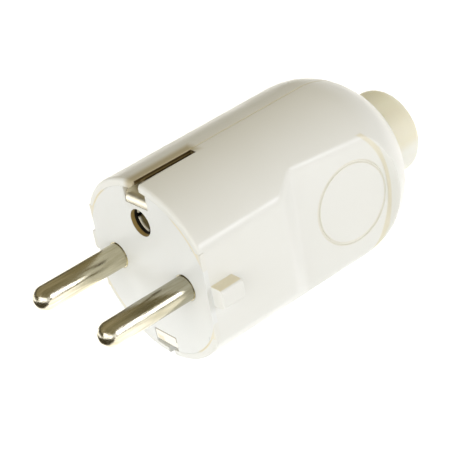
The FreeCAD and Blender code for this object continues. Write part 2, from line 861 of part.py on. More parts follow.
def cord_clamp():
    # Bar with a hollow for the cord, on the two posts.
    height = (clamp_rise + dim["clamp_overhang"]) * 2
    bar = box("clamp_bar", (dim["clamp_thickness"], dim["clamp_width"], height),
              (-clamp_face - dim["clamp_thickness"],
               clamp_place - dim["clamp_width"] / 2, -height / 2))
    hollow = cylinder("clamp_hollow", dim["cord_radius"] + dim["clamp_bite"],
                      dim["clamp_width"] + past * 2,
                      (zero, clamp_place - dim["clamp_width"] / 2 - past, zero), along_y)
    holes = post_pair("clamp_hole", dim["clamp_screw_radius"] + dim["screw_gap"],
                      -clamp_face - dim["clamp_thickness"] - past, dim["clamp_thickness"] + past * 2,
                      clamp_place, clamp_rise)
    cut("cord_clamp", bar, [hollow] + holes)
    items = []
    for level, rise in (("top", clamp_rise), ("bottom", -clamp_rise)):
        spot = (-clamp_face - dim["clamp_thickness"], clamp_place, rise)
        items.append(screw(f"clamp_screw_{level}", dim["clamp_screw_radius"], dim["clamp_screw_length"],
                           dim["clamp_head_radius"], dim["clamp_head_height"], spot, along_x, (-1, 0, 0)))
    group("cord_clamp_screws", items)


def cover_screws():
    screws = []
    inserts = []
    for level, rise in (("top", cover_post_rise), ("bottom", -cover_post_rise)):
        spot = (-dim["head_seat"], cover_post_place, rise)
        screws.append(screw(f"cover_screw_{level}", dim["cover_screw_radius"], dim["cover_screw_length"],
                            dim["cover_head_radius"], dim["cover_head_height"], spot, along_x, (-1, 0, 0)))
        start = (dim["fit_gap"], cover_post_place, rise)
        blank = cylinder(f"insert_blank_{level}", insert_radius, dim["insert_length"] - dim["fit_gap"],
                         start, along_x)
        start = (-dim["fit_gap"], cover_post_place, rise)
        bore = cylinder(f"insert_hole_{level}", dim["cover_screw_radius"] + dim["screw_gap"] / 2,
                        dim["insert_length"] + past, start, along_x)
        inserts.append(cut(f"insert_{level}", blank, [bore]))
    group("shell_screws", screws)
    group("shell_inserts", inserts)


def grommet():
    # Soft sleeve: flange inside, neck through the end wall and a rounded head outside.
    neck = neck_radius - dim["fit_gap"]
    end = body_length + dim["sleeve_length"]
    points = [
        (dim["cord_radius"], flange_front),
        (flange_radius, flange_front),
        (flange_radius, tail_face),
        (neck, tail_face),
        (neck, body_length),
        (sleeve_radius, body_length),
        (sleeve_radius, end),
        (dim["cord_radius"], end),
    ]
    sleeve = revolved("cord_grommet", points)

    def is_outer_end(edge):
        round_edge = near(edge.Length, 2 * math.pi * sleeve_radius.value, 0.1)
        return round_edge and near(edge.CenterOfMass.y, end.value)

    return round_edges(sleeve, dim["sleeve_round"], is_outer_end)


nodes = [
    "shell_right", "shell_left", "pin_carrier", "pin_right", "pin_left", "earth_bracket", "earth_socket",
    "socket_spring", "back_plate", "plate_screws", "terminal_screws", "earth_terminal_screw",
    "earth_terminal_washer", "earth_terminal_nut", "cord_clamp", "cord_clamp_screws", "shell_screws",
    "shell_inserts", "cord_grommet",
]


def build():
    form = cover_form()
    room = cavity()
    right_shell(form, room)
    left_shell(form, room)
    carrier()
    plate()
    for side in sides:
        pin(side)
    bracket()
    socket()
    spring()
    terminal_screws()
    plate_screws()
    earth_terminal()
    cord_clamp()
    cover_screws()
    grommet()
    doc.recompute()


def check():
    for item in doc.Objects:
        if "Invalid" in item.State or "Error" in item.State:
            raise RuntimeError(f"{item.Name} did not build")
    for name in nodes:
        item = doc.getObject(name)
        item.Label = name
        shape = item.Shape
        if shape.isNull() or not shape.isValid() or shape.Volume <= 0:
            raise RuntimeError(f"{name} has no good solid")
        print(f"{name}: {len(shape.Solids)} solids, {shape.Volume:.1f} mm3")


def write():
    os.makedirs("parts", exist_ok=True)
    for name in nodes:
        doc.getObject(name).Shape.exportStep(f"parts/{name}.step")


build()
check()
write()
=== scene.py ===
import math

import bmesh
import bpy
import numpy as np
from mathutils import Matrix, Vector


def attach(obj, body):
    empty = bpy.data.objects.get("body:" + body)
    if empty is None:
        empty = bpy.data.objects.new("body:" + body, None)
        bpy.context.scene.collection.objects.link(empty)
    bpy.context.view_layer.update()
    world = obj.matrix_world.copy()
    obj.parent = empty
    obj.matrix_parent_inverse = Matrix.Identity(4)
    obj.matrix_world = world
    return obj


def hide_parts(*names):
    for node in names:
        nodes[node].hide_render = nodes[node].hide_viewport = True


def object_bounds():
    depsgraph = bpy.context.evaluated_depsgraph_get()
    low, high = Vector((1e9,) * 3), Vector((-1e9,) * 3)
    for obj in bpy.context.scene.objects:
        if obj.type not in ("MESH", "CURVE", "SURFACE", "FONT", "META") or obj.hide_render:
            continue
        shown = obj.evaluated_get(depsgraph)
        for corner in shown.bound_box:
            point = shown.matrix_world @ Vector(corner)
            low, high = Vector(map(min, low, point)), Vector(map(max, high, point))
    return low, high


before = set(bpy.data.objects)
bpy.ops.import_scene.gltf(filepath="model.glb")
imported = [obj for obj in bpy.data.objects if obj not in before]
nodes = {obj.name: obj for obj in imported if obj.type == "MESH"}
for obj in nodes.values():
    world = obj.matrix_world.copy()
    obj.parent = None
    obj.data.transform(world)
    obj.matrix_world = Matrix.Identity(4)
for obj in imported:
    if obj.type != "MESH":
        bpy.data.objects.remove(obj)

cadLow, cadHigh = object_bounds()  # box of the CAD model, before any piece is added
scene = bpy.context.scene
millimetre = 0.001  # sizes of pieces are in millimetres, those of the stage in metres
smallLengths = {
    "step": 2e-6,  # between two radii of a turned piece
    "weld": 2e-7,  # doubles in a copied CAD mesh
    "tip": 5e-7,  # doubles at the ends of a turned skin
    "sliver": 1e-7,  # faces without area after carving
}
tiny = 1e-6  # keeps a division from zero
print("frame loaded:", len(nodes), "nodes")


def linked(name, data):
    thing = bpy.data.objects.new(name, data)
    scene.collection.objects.link(thing)
    return thing


def reshape(mesh, change):
    form = bmesh.new()
    form.from_mesh(mesh)
    change(form)
    form.to_mesh(mesh)
    form.free()


# node helpers

def feed(tree, socket, value):
    # an output is linked, a plain value goes on the socket
    if isinstance(value, bpy.types.NodeSocket):
        tree.links.new(value, socket)
    else:
        socket.default_value = value


def newNode(tree, kind, inputs=None):
    node = tree.nodes.new(kind)
    for label, value in (inputs or {}).items():
        feed(tree, node.inputs[label], value)
    return node


def emptyMaterial(name):
    material = bpy.data.materials.new(name)
    material.use_nodes = True
    tree = material.node_tree
    tree.nodes.clear()
    output = tree.nodes.new("ShaderNodeOutputMaterial")
    return material, tree, output.inputs["Surface"]


def newMaterial(name):
    material, tree, surface = emptyMaterial(name)
    shader = tree.nodes.new("ShaderNodeBsdfPrincipled")
    tree.links.new(shader.outputs["BSDF"], surface)
    return material, tree, shader


def noiseOn(tree, scale, detail=3.0, stretch=(1, 1, 1)):
    # grain in object space; stretch draws it out along an axis
    coords = newNode(tree, "ShaderNodeTexCoord").outputs["Object"]
    mapping = newNode(tree, "ShaderNodeMapping", {"Vector": coords, "Scale": stretch})
    noise = newNode(tree, "ShaderNodeTexNoise", {
        "Vector": mapping.outputs[0], "Scale": scale, "Detail": detail})
    return noise.outputs["Fac"]


def rampTo(tree, source, socket, low, high, start=0.35, end=0.65):
    # spreads a grain between two colours or two grey levels
    ramp = newNode(tree, "ShaderNodeValToRGB", {"Fac": source})
    ramp.color_ramp.elements[0].position = start
    ramp.color_ramp.elements[1].position = end
    ramp.color_ramp.elements[0].color = (*low, 1)
    ramp.color_ramp.elements[1].color = (*high, 1)
    tree.links.new(ramp.outputs["Color"], socket)
    return ramp.outputs["Color"]


def grey(value):
    return (value, value, value)


def bumpOn(tree, shader, source, strength, distance):
    bump = newNode(tree, "ShaderNodeBump", {"Strength": strength, "Distance": distance, "Height": source})
    tree.links.new(bump.outputs["Normal"], shader.inputs["Normal"])


def sums(tree, operation, a, b=0.0, c=None, clamp=False):
    node = tree.nodes.new("ShaderNodeMath")
    node.operation = operation
    node.use_clamp = clamp
    for socket, value in zip(node.inputs, (a, b, c)):
        if value is not None:
            feed(tree, socket, value)
    return node.outputs[0]


def triple(tree, x=0.0, y=0.0, z=0.0):
    node = tree.nodes.new("ShaderNodeCombineXYZ")
    for socket, value in zip(node.inputs, (x, y, z)):
        feed(tree, socket, value)
    return node.outputs[0]


# places on a piece, in millimetres, for tints in its crevices, mostly painted shade and painted highlights

earthRise = 10  # of the earth hole above the line of the pins
acrossShare = 0.05  # how little the way across counts


def split(tree, vector):
    node = tree.nodes.new("ShaderNodeSeparateXYZ")
    tree.links.new(vector, node.inputs[0])
    return node.outputs


def vectorStep(tree, operation, a, b=None):
    node = tree.nodes.new("ShaderNodeVectorMath")
    node.operation = operation
    for socket, value in zip(node.inputs, (a, b)):
        if value is not None:
            feed(tree, socket, value)
    return node.outputs["Value"] if operation == "LENGTH" else node.outputs["Vector"]


def placeOn(tree):
    # x, y and z in millimetres
    coords = newNode(tree, "ShaderNodeTexCoord").outputs["Object"]
    return vectorStep(tree, "MULTIPLY", coords, (1 / millimetre,) * 3)


def roundAxis(tree, x, z):
    # distance from a line along Y, the place along it, and a share of the way across, which fades slower
    place = split(tree, vectorStep(tree, "SUBTRACT", placeOn(tree), (x, 0, z)))
    distance = vectorStep(tree, "LENGTH", triple(tree, place[0], 0, place[2]))
    across = sums(tree, "MULTIPLY", sums(tree, "ABSOLUTE", place[0]), acrossShare)
    return triple(tree, distance, place[1], across)


def aboutBody(tree):
    return roundAxis(tree, 0, 0)


def aboutEarthHole(tree):
    return roundAxis(tree, 0, earthRise)


def roundSide(tree, y, rearOnly):
    # distance from a line along X, or only behind it, then the place across
    place = split(tree, vectorStep(tree, "SUBTRACT", placeOn(tree), (0, y, 0)))
    behind = sums(tree, "MAXIMUM", place[1], 0.0) if rearOnly else place[1]
    return triple(tree, vectorStep(tree, "LENGTH", triple(tree, 0, behind, place[2])), place[0])


def within(tree, place, low, high, soft):
    # 1 inside a box of places, falling to 0 over the soft distance outside it
    middle = [(a + b) / 2 for a, b in zip(low, high)]
    half = [(b - a) / 2 for a, b in zip(low, high)]
    away = vectorStep(tree, "ABSOLUTE", vectorStep(tree, "SUBTRACT", place, middle))
    outside = split(tree, vectorStep(tree, "SUBTRACT", away, half))
    furthest = sums(tree, "MAXIMUM", sums(tree, "MAXIMUM", outside[0], outside[1]), outside[2])
    fade = newNode(tree, "ShaderNodeMapRange", {
        "Value": furthest, "From Min": 0, "From Max": soft, "To Min": 1, "To Max": 0})
    fade.interpolation_type = "SMOOTHSTEP"
    return fade.outputs["Result"]


def tinted(tree, colour, tint):
    # lays a tint over a colour, and also gives the share it takes
    place = tint.get("about", placeOn)(tree)
    near = within(tree, place, tint["low"], tint["high"], tint["soft"])
    share = sums(tree, "MULTIPLY", near, tint.get("share", 1))
    blend = tree.nodes.new("ShaderNodeMix")
    blend.data_type = "RGBA"
    blend.blend_type = tint.get("way", "MIX")
    under, over, result = blend.inputs[6], blend.inputs[7], blend.outputs[2]  # its colour sockets
    tree.links.new(share, blend.inputs["Factor"])
    tree.links.new(colour, under)
    over.default_value = (*tint["colour"], 1)
    return result, share


# moulded plastics and drawn metals

grainHeights = {"plastic": 0.05, "metal": 0.02}  # full height of the bump, in millimetres


def mouldedPlastic(name, look):
    material, tree, shader = newMaterial(name)
    cloud = noiseOn(tree, look["cloudScale"])
    colour = rampTo(tree, cloud, shader.inputs["Base Color"], look["deep"], look["pale"])
    for tint in look.get("tints", []):
        colour, _ = tinted(tree, colour, tint)
    tree.links.new(colour, shader.inputs["Base Color"])
    gloss = noiseOn(tree, look["glossScale"], detail=4)
    rampTo(tree, gloss, shader.inputs["Roughness"], grey(look["smooth"]), grey(look["dull"]))
    skin = noiseOn(tree, look["skinScale"], detail=2)
    bumpOn(tree, shader, skin, look["skinDepth"], grainHeights["plastic"] * millimetre)
    shader.inputs["IOR"].default_value = 1.5
    if "depth" in look:
        shader.inputs["Subsurface Weight"].default_value = look["depth"]
        shader.inputs["Subsurface Radius"].default_value = look["bleed"]
        shader.inputs["Subsurface Scale"].default_value = millimetre
    return material


def drawnMetal(name, look):
    material, tree, shader = newMaterial(name)
    stain = noiseOn(tree, look["stainScale"], detail=4, stretch=look.get("stainStretch", (1, 1, 1)))
    colour = rampTo(tree, stain, shader.inputs["Base Color"], look["deep"], look["pale"])
    metal = 1.0
    for tint in look.get("tints", []):
        colour, share = tinted(tree, colour, tint)
        if tint.get("dulls", True):  # the tint covers the metal
            metal = sums(tree, "SUBTRACT", metal, share, clamp=True)
    tree.links.new(colour, shader.inputs["Base Color"])
    feed(tree, shader.inputs["Metallic"], metal)
    grain = noiseOn(tree, look["grainScale"], stretch=look["grainStretch"])
    rampTo(tree, grain, shader.inputs["Roughness"], grey(look["smooth"]), grey(look["dull"]))
    bumpOn(tree, shader, grain, look["grainDepth"], grainHeights["metal"] * millimetre)
    return material


# cover halves: one skin drawn round the middle line, cut back to the flat, the valley and the grip

coverShape = {
    "bodyRadius": 18.2, "domeRadius": 18.45, "domePlace": 40.3, "length": 54.5, "tailRadius": 9.0,
    "rimRound": 0.7, "flatWidth": 15.6, "flatEnd": 19.5, "valleyWidth": 13.3, "valleyPlace": 24.0,
    "bendRound": 3.6, "gripWidth": 14.95, "gripEnd": 46.0, "gripRadius": 17.6, "gripRise": 17.0,
    "edgeSoft": 0.9, "wallSoft": 0.42, "seamDepth": 0.1, "seamWidth": 0.16,
    "ringPlace": 36.8, "ringRadius": 8.0, "ringLine": 0.28, "ringWeld": 1e-4,
}
roomShape = {
    "profile": [(0, 16.73), (12.7, 16.73), (12.7, 15.1), (14.2, 15.1), (14.2, 16.65), (40.3, 16.65),
                (50.1, 10.1), (52.2, 10.1), (52.2, 7.6), (54.5, 7.6)],
    "sides": [(0, 13.6), (19.8, 13.6), (24.0, 11.5), (46.0, 13.15), (54.5, 13.15)],
    "columns": 61,
}
skinGrid = {
    "rimRows": 9, "domeStart": 46.7, "domeRows": 40,
    "rowRuns": [(1.2, 17, 0.9), (17, 27, 0.25), (27, 38, 0.5), (38, 46.6, 0.12)],  # start, end and step
    "columnRuns": [(0, 28, 0.5), (28, 47, 0.35), (47, 87, 1.6)],  # in degrees away from the flat
    "seamColumns": [87.4, 88.4, 89.0, 89.3, 89.5, 89.7, 89.85, 90],
}
coverCuts = {
    "overrun": 2, "clear": 22,  # tools run this far past an edge, or out to here, clear of the body
    "slotEdge": 1.65, "slotLength": 13.5, "slotFloor": 13.4, "earDepth": 1.0, "earHeight": 8.79,
    "earWidth": 13.5, "lipPoints": [(-0.5, 17.75), (-0.5, 15), (2.4, 15), (1.2, 16.6)], "lipDepth": 2.5,
    "guideRoot": 14.0, "guideReach": 18.4, "guideStart": 0.2, "guideLength": 6.0, "guideHeight": 4.0,
    "guideRound": 0.7, "screwPlace": 28.0, "screwRise": 8.816, "postRadius": 3.8, "postSpan": (0.05, 12.6),
    "boreRadius": 3.0, "seatDepth": 7.0, "shankRadius": 1.6,
}


def aboutGrip(tree):
    return roundSide(tree, coverShape["gripEnd"] - coverShape["gripRadius"], True)


def aboutRing(tree):
    return roundSide(tree, coverShape["ringPlace"], False)


coverLook = {
    "pale": (0.835, 0.852, 0.838), "deep": (0.82, 0.835, 0.815), "cloudScale": 45,
    "tints": [
        {"low": (-0.9, -1, 17), "high": (0, 13.3, 20), "soft": 2.2, "share": 0.8,
         "colour": (0.44, 0.37, 0.20)},  # painted shade, tan along the edge of the slot
        {"low": (-0.05, 0.6, 14), "high": (1.8, 13.75, 18.05), "soft": 0.12,
         "colour": (0.075, 0.046, 0.012)},  # painted shade, dark brown on the walls of the slot
        {"low": (-1.5, 0.7, 15), "high": (0, 2.8, 17.55), "soft": 0.12, "share": 0.9,
         "colour": (0.2, 0.15, 0.07)},  # painted shade in the cut in the left rim beside the slot
        {"low": (-0.05, 2, 17.5), "high": (1.8, 13.6, 17.62), "soft": 0.14, "share": 0.8,
         "colour": (0.30, 0.23, 0.10)},  # painted highlight, a lighter line along the joint in the slot over its painted shade
        {"about": aboutBody, "low": (16.7, 0.03, 0.55), "high": (16.85, 0.5, 0.7), "soft": 0.1, "share": 0.9,
         "colour": (0.82, 0.73, 0.48)},  # painted shade, tan in the seat of the insert
        {"low": (-0.1, 13.6, 10), "high": (0.1, 54, 20), "soft": 0.2, "share": 0.45,
         "colour": (0.62, 0.55, 0.36)},  # parting line on top
        {"about": aboutGrip, "low": (17.2, 14.0, -1), "high": (17.6, 15.2, 1), "soft": 0.4, "share": 0.45,
         "colour": (0.72, 0.64, 0.38)},  # painted shade, tan at the rear corner of the grip
        {"about": aboutRing, "low": (7.75, 13, -1), "high": (8.25, 14.6, 1), "soft": 0.25, "share": 0.22,
         "colour": (0.70, 0.62, 0.38)},  # painted shade, tan in the ring in the grip
        {"low": (15.7, 0, 1.95), "high": (19, 7, 2.05), "soft": 0.12, "share": 0.6,
         "colour": (0.80, 0.71, 0.44)},  # painted shade, tan on the top of the guide rib
        {"low": (15.7, 0.8, -2.1), "high": (19, 1.1, 1.7), "soft": 0.2, "share": 0.3,
         "colour": (0.93, 0.94, 0.93)},  # painted light, a paler front of the guide rib
    ],
    "smooth": 0.28, "dull": 0.38, "glossScale": 160, "skinScale": 900, "skinDepth": 0.05,
}
coverPlastic = mouldedPlastic("cover_plastic", coverLook)


def domeArc(shape):
    # centre and radius of the rear dome, which carries on from the slight taper without a corner
    taper = Vector((shape["domeRadius"] - shape["bodyRadius"], shape["domePlace"])).normalized()
    inward = Vector((-taper.y, taper.x))
    fall = Vector((shape["tailRadius"] - shape["domeRadius"], shape["length"] - shape["domePlace"]))
    radius = fall.dot(fall) / (2 * fall.dot(inward))
    centre = Vector((shape["domeRadius"], shape["domePlace"])) + inward * radius
    return centre, radius


def turnedRadius(y, shape):
    centre, radius = domeArc(shape)
    taper = shape["bodyRadius"] + (shape["domeRadius"] - shape["bodyRadius"]) * y / shape["domePlace"]
    dome = centre.x + np.sqrt(np.maximum(radius ** 2 - (y - centre.y) ** 2, 0))
    rim = shape["rimRound"]
    lost = rim - np.sqrt(np.maximum(rim ** 2 - np.maximum(rim - y, 0) ** 2, 0))
    return np.where(y > shape["domePlace"], dome, taper) - lost


def roundedLine(points, radius, steps=10):
    # the bends of an open line become arcs
    line = [Vector(points[0])]
    for before, corner, after in zip(points, points[1:], points[2:]):
        corner = Vector(corner)
        back = (Vector(before) - corner).normalized()
        ahead = (Vector(after) - corner).normalized()
        half = back.angle(ahead) / 2
        centre = corner + (back + ahead).normalized() * radius / math.sin(half)
        start = corner + back * radius / math.tan(half) - centre
        end = corner + ahead * radius / math.tan(half) - centre
        for step in range(steps + 1):
            line.append(centre + start.lerp(end, step / steps).normalized() * radius)
    line.append(Vector(points[-1]))
    return np.array(line)


def gripFloor(y, shape):
    # the floor of the grip rises to the rear: its width there, and its slope
    slope = (shape["gripWidth"] - shape["valleyWidth"]) / (shape["gripEnd"] - shape["valleyPlace"])
    return shape["valleyWidth"] + slope * (y - shape["valleyPlace"]), slope


def sideWidth(y, shape):
    front, rear = -1, shape["length"] + 1  # past both ends
    line = roundedLine([
        (front, shape["flatWidth"]), (shape["flatEnd"], shape["flatWidth"]),
        (shape["valleyPlace"], shape["valleyWidth"]), (rear, gripFloor(rear, shape)[0]),
    ], shape["bendRound"])
    return np.interp(y, line[:, 0], line[:, 1])


def softMin(a, b, blend):
    # the lower of two, with the corner between them rounded
    near = np.maximum(blend - np.abs(a - b), 0) / blend
    return np.minimum(a, b) - near ** 2 * blend / 4


def skinRows(shape, grid):
    # places along Y, close together where the skin bends
    rim = shape["rimRound"] * (1 - np.cos(np.linspace(0, math.pi / 2, grid["rimRows"])))
    centre, radius = domeArc(shape)
    start = np.arcsin((grid["domeStart"] - centre.y) / radius)
    tail = np.arcsin((shape["length"] - centre.y) / radius)
    dome = centre.y + radius * np.sin(np.linspace(start, tail, grid["domeRows"]))
    rows = np.concatenate([rim, *(np.arange(*run) for run in grid["rowRuns"]), dome])
    rows[-1] = shape["length"]
    return rows


def skinColumns(grid):
    # angles from the lower seam to the upper one
    half = np.concatenate([*(np.arange(*run) for run in grid["columnRuns"]), grid["seamColumns"]])
    return np.radians(np.concatenate([-half[:0:-1], half]))


def skinRadius(rows, columns, shape):
    y, angle = np.meshgrid(rows, columns, indexing="ij")
    outside = turnedRadius(y, shape)
    across = np.maximum(np.cos(angle), tiny)
    side = sideWidth(y, shape)
    cutBack = softMin(outside, side / across, shape["edgeSoft"])
    gripMiddle = shape["gripEnd"] - shape["gripRadius"]
    # held under the radius, so that nothing bounds the flat above and below
    rise = np.clip(side * np.tan(angle), -shape["gripRise"], shape["gripRise"])
    inside = shape["gripRadius"] - np.hypot(np.maximum(y - gripMiddle, 0), rise)
    share = np.clip(inside / (2 * shape["wallSoft"]) + 0.5, 0, 1)
    share = share * share * (3 - 2 * share)
    radius = outside - share * (outside - cutBack)
    fromSeam = radius * np.cos(angle)
    return radius - shape["seamDepth"] * np.maximum(1 - fromSeam / shape["seamWidth"], 0)


def spread(rows, columns, radius):
    # points of a skin about the Y axis, in millimetres
    points = np.empty((*radius.shape, 3))
    points[..., 0] = radius * np.cos(columns)
    points[..., 0][:, [0, -1]] = 0
    points[..., 1] = rows[:, None]
    points[..., 2] = radius * np.sin(columns)
    return points


def gridFaces(first, rowCount, columnCount, inward):
    faces = []
    for row in range(rowCount - 1):
        for column in range(columnCount - 1):
            a = first + row * columnCount + column
            quad = (a, a + 1, a + columnCount + 1, a + columnCount)
            faces.append(quad[::-1] if inward else quad)
    return faces


def faceOutwards(mesh):
    reshape(mesh, lambda form: bmesh.ops.recalc_face_normals(form, faces=form.faces))


def coverSolid(shape, room, grid):
    # right half as a closed wall: skin, room inside, front, tail and the two seams
    rows, columns = skinRows(shape, grid), skinColumns(grid)
    skin = spread(rows, columns, skinRadius(rows, columns, shape))
    roomRows = np.array([place for place, _ in room["profile"]], float)
    roomColumns = np.linspace(-math.pi / 2, math.pi / 2, room["columns"])
    reach = np.array([radius for _, radius in room["profile"]])[:, None]
    sides = np.array(room["sides"])
    width = np.interp(roomRows, sides[:, 0], sides[:, 1])[:, None]
    flat = width / np.maximum(np.cos(roomColumns), tiny)
    inner = spread(roomRows, roomColumns, np.minimum(reach, flat))
    skinShape, innerShape = skin.shape[:2], inner.shape[:2]
    skinIds = np.arange(skinShape[0] * skinShape[1]).reshape(skinShape)
    innerIds = np.arange(innerShape[0] * innerShape[1]).reshape(innerShape) + skinIds.size
    faces = gridFaces(0, *skinShape, inward=False) + gridFaces(skinIds.size, *innerShape, inward=True)
    for outerLine, innerLine in (
        (skinIds[0], innerIds[0]), (skinIds[-1, ::-1], innerIds[-1, ::-1]),
        (skinIds[::-1, 0], innerIds[::-1, 0]), (skinIds[:, -1], innerIds[:, -1]),
    ):
        faces.append([int(i) for i in outerLine[::-1]] + [int(i) for i in innerLine])
    points = np.concatenate([skin.reshape(-1, 3), inner.reshape(-1, 3)]) * millimetre
    mesh = bpy.data.meshes.new("cover")
    mesh.from_pydata(points.tolist(), [], faces)
    faceOutwards(mesh)
    return mesh


def blockForm(low, high, corner=0):
    form = bmesh.new()
    bmesh.ops.create_cube(form, size=1)
    for vert in form.verts:
        vert.co = [(a + b) / 2 + c * (b - a) for a, b, c in zip(low, high, vert.co)]
    if corner:
        bmesh.ops.bevel(form, geom=form.edges[:], offset=corner, segments=3, profile=0.5, affect="EDGES")
    return form


def wedgeForm(points, start, end):
    # prism along Y, from an end drawn as x and z
    form = bmesh.new()
    base = form.faces.new([form.verts.new((x, start, z)) for x, z in points])
    grown = bmesh.ops.extrude_face_region(form, geom=[base])["geom"]
    moved = [item for item in grown if isinstance(item, bmesh.types.BMVert)]
    bmesh.ops.translate(form, vec=(0, end - start, 0), verts=moved)
    bmesh.ops.recalc_face_normals(form, faces=form.faces)
    return form


def rodForm(radius, start, end, y, z, steps=64):
    # round bar along X
    form = bmesh.new()
    place = Matrix.Translation(((start + end) / 2, y, z)) @ Matrix.Rotation(math.pi / 2, 4, "Y")
    bmesh.ops.create_cone(form, cap_ends=True, segments=steps, radius1=radius, radius2=radius,
                          depth=abs(end - start), matrix=place)
    return form


def ringForm(shape, steps=128, around=12):
    # hoop half sunk in the sloping floor of the grip
    floor, slope = gripFloor(shape["ringPlace"], shape)
    form = bmesh.new()
    upright = Matrix.Translation((shape["ringRadius"], 0, 0)) @ Matrix.Rotation(math.pi / 2, 4, "X")
    bmesh.ops.create_circle(form, segments=around, radius=shape["ringLine"], matrix=upright)
    bmesh.ops.spin(form, geom=form.edges[:], cent=(0, 0, 0), axis=(0, 0, 1), angle=2 * math.pi, steps=steps,
                   use_merge=True, use_duplicate=False)
    bmesh.ops.remove_doubles(form, verts=form.verts, dist=shape["ringWeld"])
    bmesh.ops.recalc_face_normals(form, faces=form.faces)
    turn = Matrix.Rotation(-math.atan(slope), 4, "Z") @ Matrix.Rotation(math.pi / 2, 4, "Y")
    place = Matrix.Translation((floor, shape["ringPlace"], 0))
    bmesh.ops.transform(form, matrix=place @ turn, verts=form.verts)
    return form


def toolObject(name, forms):
    # several closed forms in millimetres as one mesh in metres
    whole = bpy.data.meshes.new(name)
    joined = bmesh.new()
    for form in forms:
        part = bpy.data.meshes.new("part")
        form.to_mesh(part)
        form.free()
        joined.from_mesh(part)
        bpy.data.meshes.remove(part)
    bmesh.ops.scale(joined, vec=(millimetre,) * 3, verts=joined.verts)
    joined.to_mesh(whole)
    joined.free()
    return linked(name, whole)


def plainMesh(piece):
    # the mesh that the modifiers give takes their place
    bpy.context.view_layer.update()
    mesh = bpy.data.meshes.new_from_object(piece.evaluated_get(bpy.context.evaluated_depsgraph_get()))
    piece.modifiers.clear()
    piece.data = mesh


def clearSlivers(form):
    # faces with many corners become triangles, and those without area go
    many = [face for face in form.faces if len(face.verts) > 4]
    bmesh.ops.triangulate(form, faces=many, quad_method="BEAUTY", ngon_method="BEAUTY")
    bmesh.ops.dissolve_degenerate(form, dist=smallLengths["sliver"], edges=form.edges)


def carve(piece, steps):
    # adds or takes away each tool in turn
    for operation, tool in steps:
        step = piece.modifiers.new(tool.name, "BOOLEAN")
        step.operation = operation
        step.object = tool
        step.solver = "MANIFOLD"
    plainMesh(piece)
    reshape(piece.data, clearSlivers)
    for _, tool in steps:
        bpy.data.objects.remove(tool)


# in degrees, for each slot
sharpAngles = {"cover": 42, "pins": 40, "screws": 35, "earth": 40, "insert": 28, "contact": 28, "sleeve": 28}


def markSharp(mesh, angle):
    # shades smoothly across every edge that bends less than the angle
    def shade(form):
        for face in form.faces:
            face.smooth = True
        for edge in form.edges:
            edge.smooth = edge.calc_face_angle(0) < math.radians(angle)

    reshape(mesh, shade)
    if "custom_normal" in mesh.attributes:
        mesh.attributes.remove(mesh.attributes["custom_normal"])


def finishPiece(piece, material, slot, *replaced):
    mesh = piece.data
    markSharp(mesh, sharpAngles[slot])
    mesh.materials.clear()
    mesh.materials.append(material)
    even = piece.modifiers.new("even", "WEIGHTED_NORMAL")
    even.keep_sharp = True
    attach(piece, "root")
    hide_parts(*replaced)


def coverHalf(name, side, node):
    # the left half is made as a right one and mirrored
    cuts, over, clear = coverCuts, coverCuts["overrun"], coverCuts["clear"]
    piece = linked(name, coverSolid(coverShape, roomShape, skinGrid))
    adds = [blockForm(
        (cuts["guideRoot"], cuts["guideStart"], -cuts["guideHeight"] / 2),
        (cuts["guideReach"], cuts["guideStart"] + cuts["guideLength"], cuts["guideHeight"] / 2),
        cuts["guideRound"],
    )]
    takes = [
        blockForm((cuts["earWidth"], -over, -cuts["earHeight"]), (clear, cuts["earDepth"], cuts["earHeight"])),
        ringForm(coverShape),
    ]
    narrow = []
    if side > 0:  # slots over the earth strips
        for low, high in ((cuts["slotFloor"], clear), (-clear, -cuts["slotFloor"])):
            takes.append(blockForm((-over, -over, low), (cuts["slotEdge"], cuts["slotLength"], high)))
    else:  # cut in the rim beside the slot, and the screw posts
        takes.append(wedgeForm(cuts["lipPoints"], -over, cuts["lipDepth"]))
        for rise in (cuts["screwRise"], -cuts["screwRise"]):
            place, seat = cuts["screwPlace"], cuts["seatDepth"]
            adds.append(rodForm(cuts["postRadius"], *cuts["postSpan"], place, rise))
            takes.append(rodForm(cuts["boreRadius"], seat, clear, place, rise))
            narrow.append(rodForm(cuts["shankRadius"], -over, seat + over, place, rise))
    steps = [("UNION", toolObject("adds", adds)), ("DIFFERENCE", toolObject("takes", takes))]
    if narrow:
        steps.append(("DIFFERENCE", toolObject("narrow", narrow)))
    carve(piece, steps)
    if side < 0:
        piece.data.transform(Matrix.Scale(-1, 4, (1, 0, 0)))
        piece.data.flip_normals()
    finishPiece(piece, coverPlastic, "cover", node)


coverHalf("cover_right", 1, "shell_right")
coverHalf("cover_left", -1, "shell_left")
print("cover halves made")


# trees for what repeats: the two pins and the pairs of screws

def newTree(name, inputs):
    tree = bpy.data.node_groups.new(name, "GeometryNodeTree")
    tree.interface.new_socket("Geometry", in_out="OUTPUT", socket_type="NodeSocketGeometry")
    ids = {}
    for label, kind in inputs.items():
        socket = tree.interface.new_socket(label, in_out="INPUT", socket_type=f"NodeSocket{kind}")
        ids[label] = socket.identifier
    source = tree.nodes.new("NodeGroupInput")
    sink = tree.nodes.new("NodeGroupOutput")
    return tree, source.outputs, sink.inputs["Geometry"], ids


def copyAlong(tree, shape, count, first, step, turn=None):
    # copies of a shape at even steps from the first place
    line = newNode(tree, "GeometryNodeMeshLine", {"Count": count, "Start Location": first, "Offset": step})
    copies = newNode(tree, "GeometryNodeInstanceOnPoints", {"Points": line.outputs[0], "Instance": shape})
    if turn is not None:
        tree.links.new(turn, copies.inputs["Rotation"])
    return copies.outputs[0]


def endTree(tree, copies, material, sink):
    real = newNode(tree, "GeometryNodeRealizeInstances", {"Geometry": copies})
    painted = newNode(tree, "GeometryNodeSetMaterial", {"Geometry": real.outputs[0], "Material": material})
    tree.links.new(painted.outputs[0], sink)


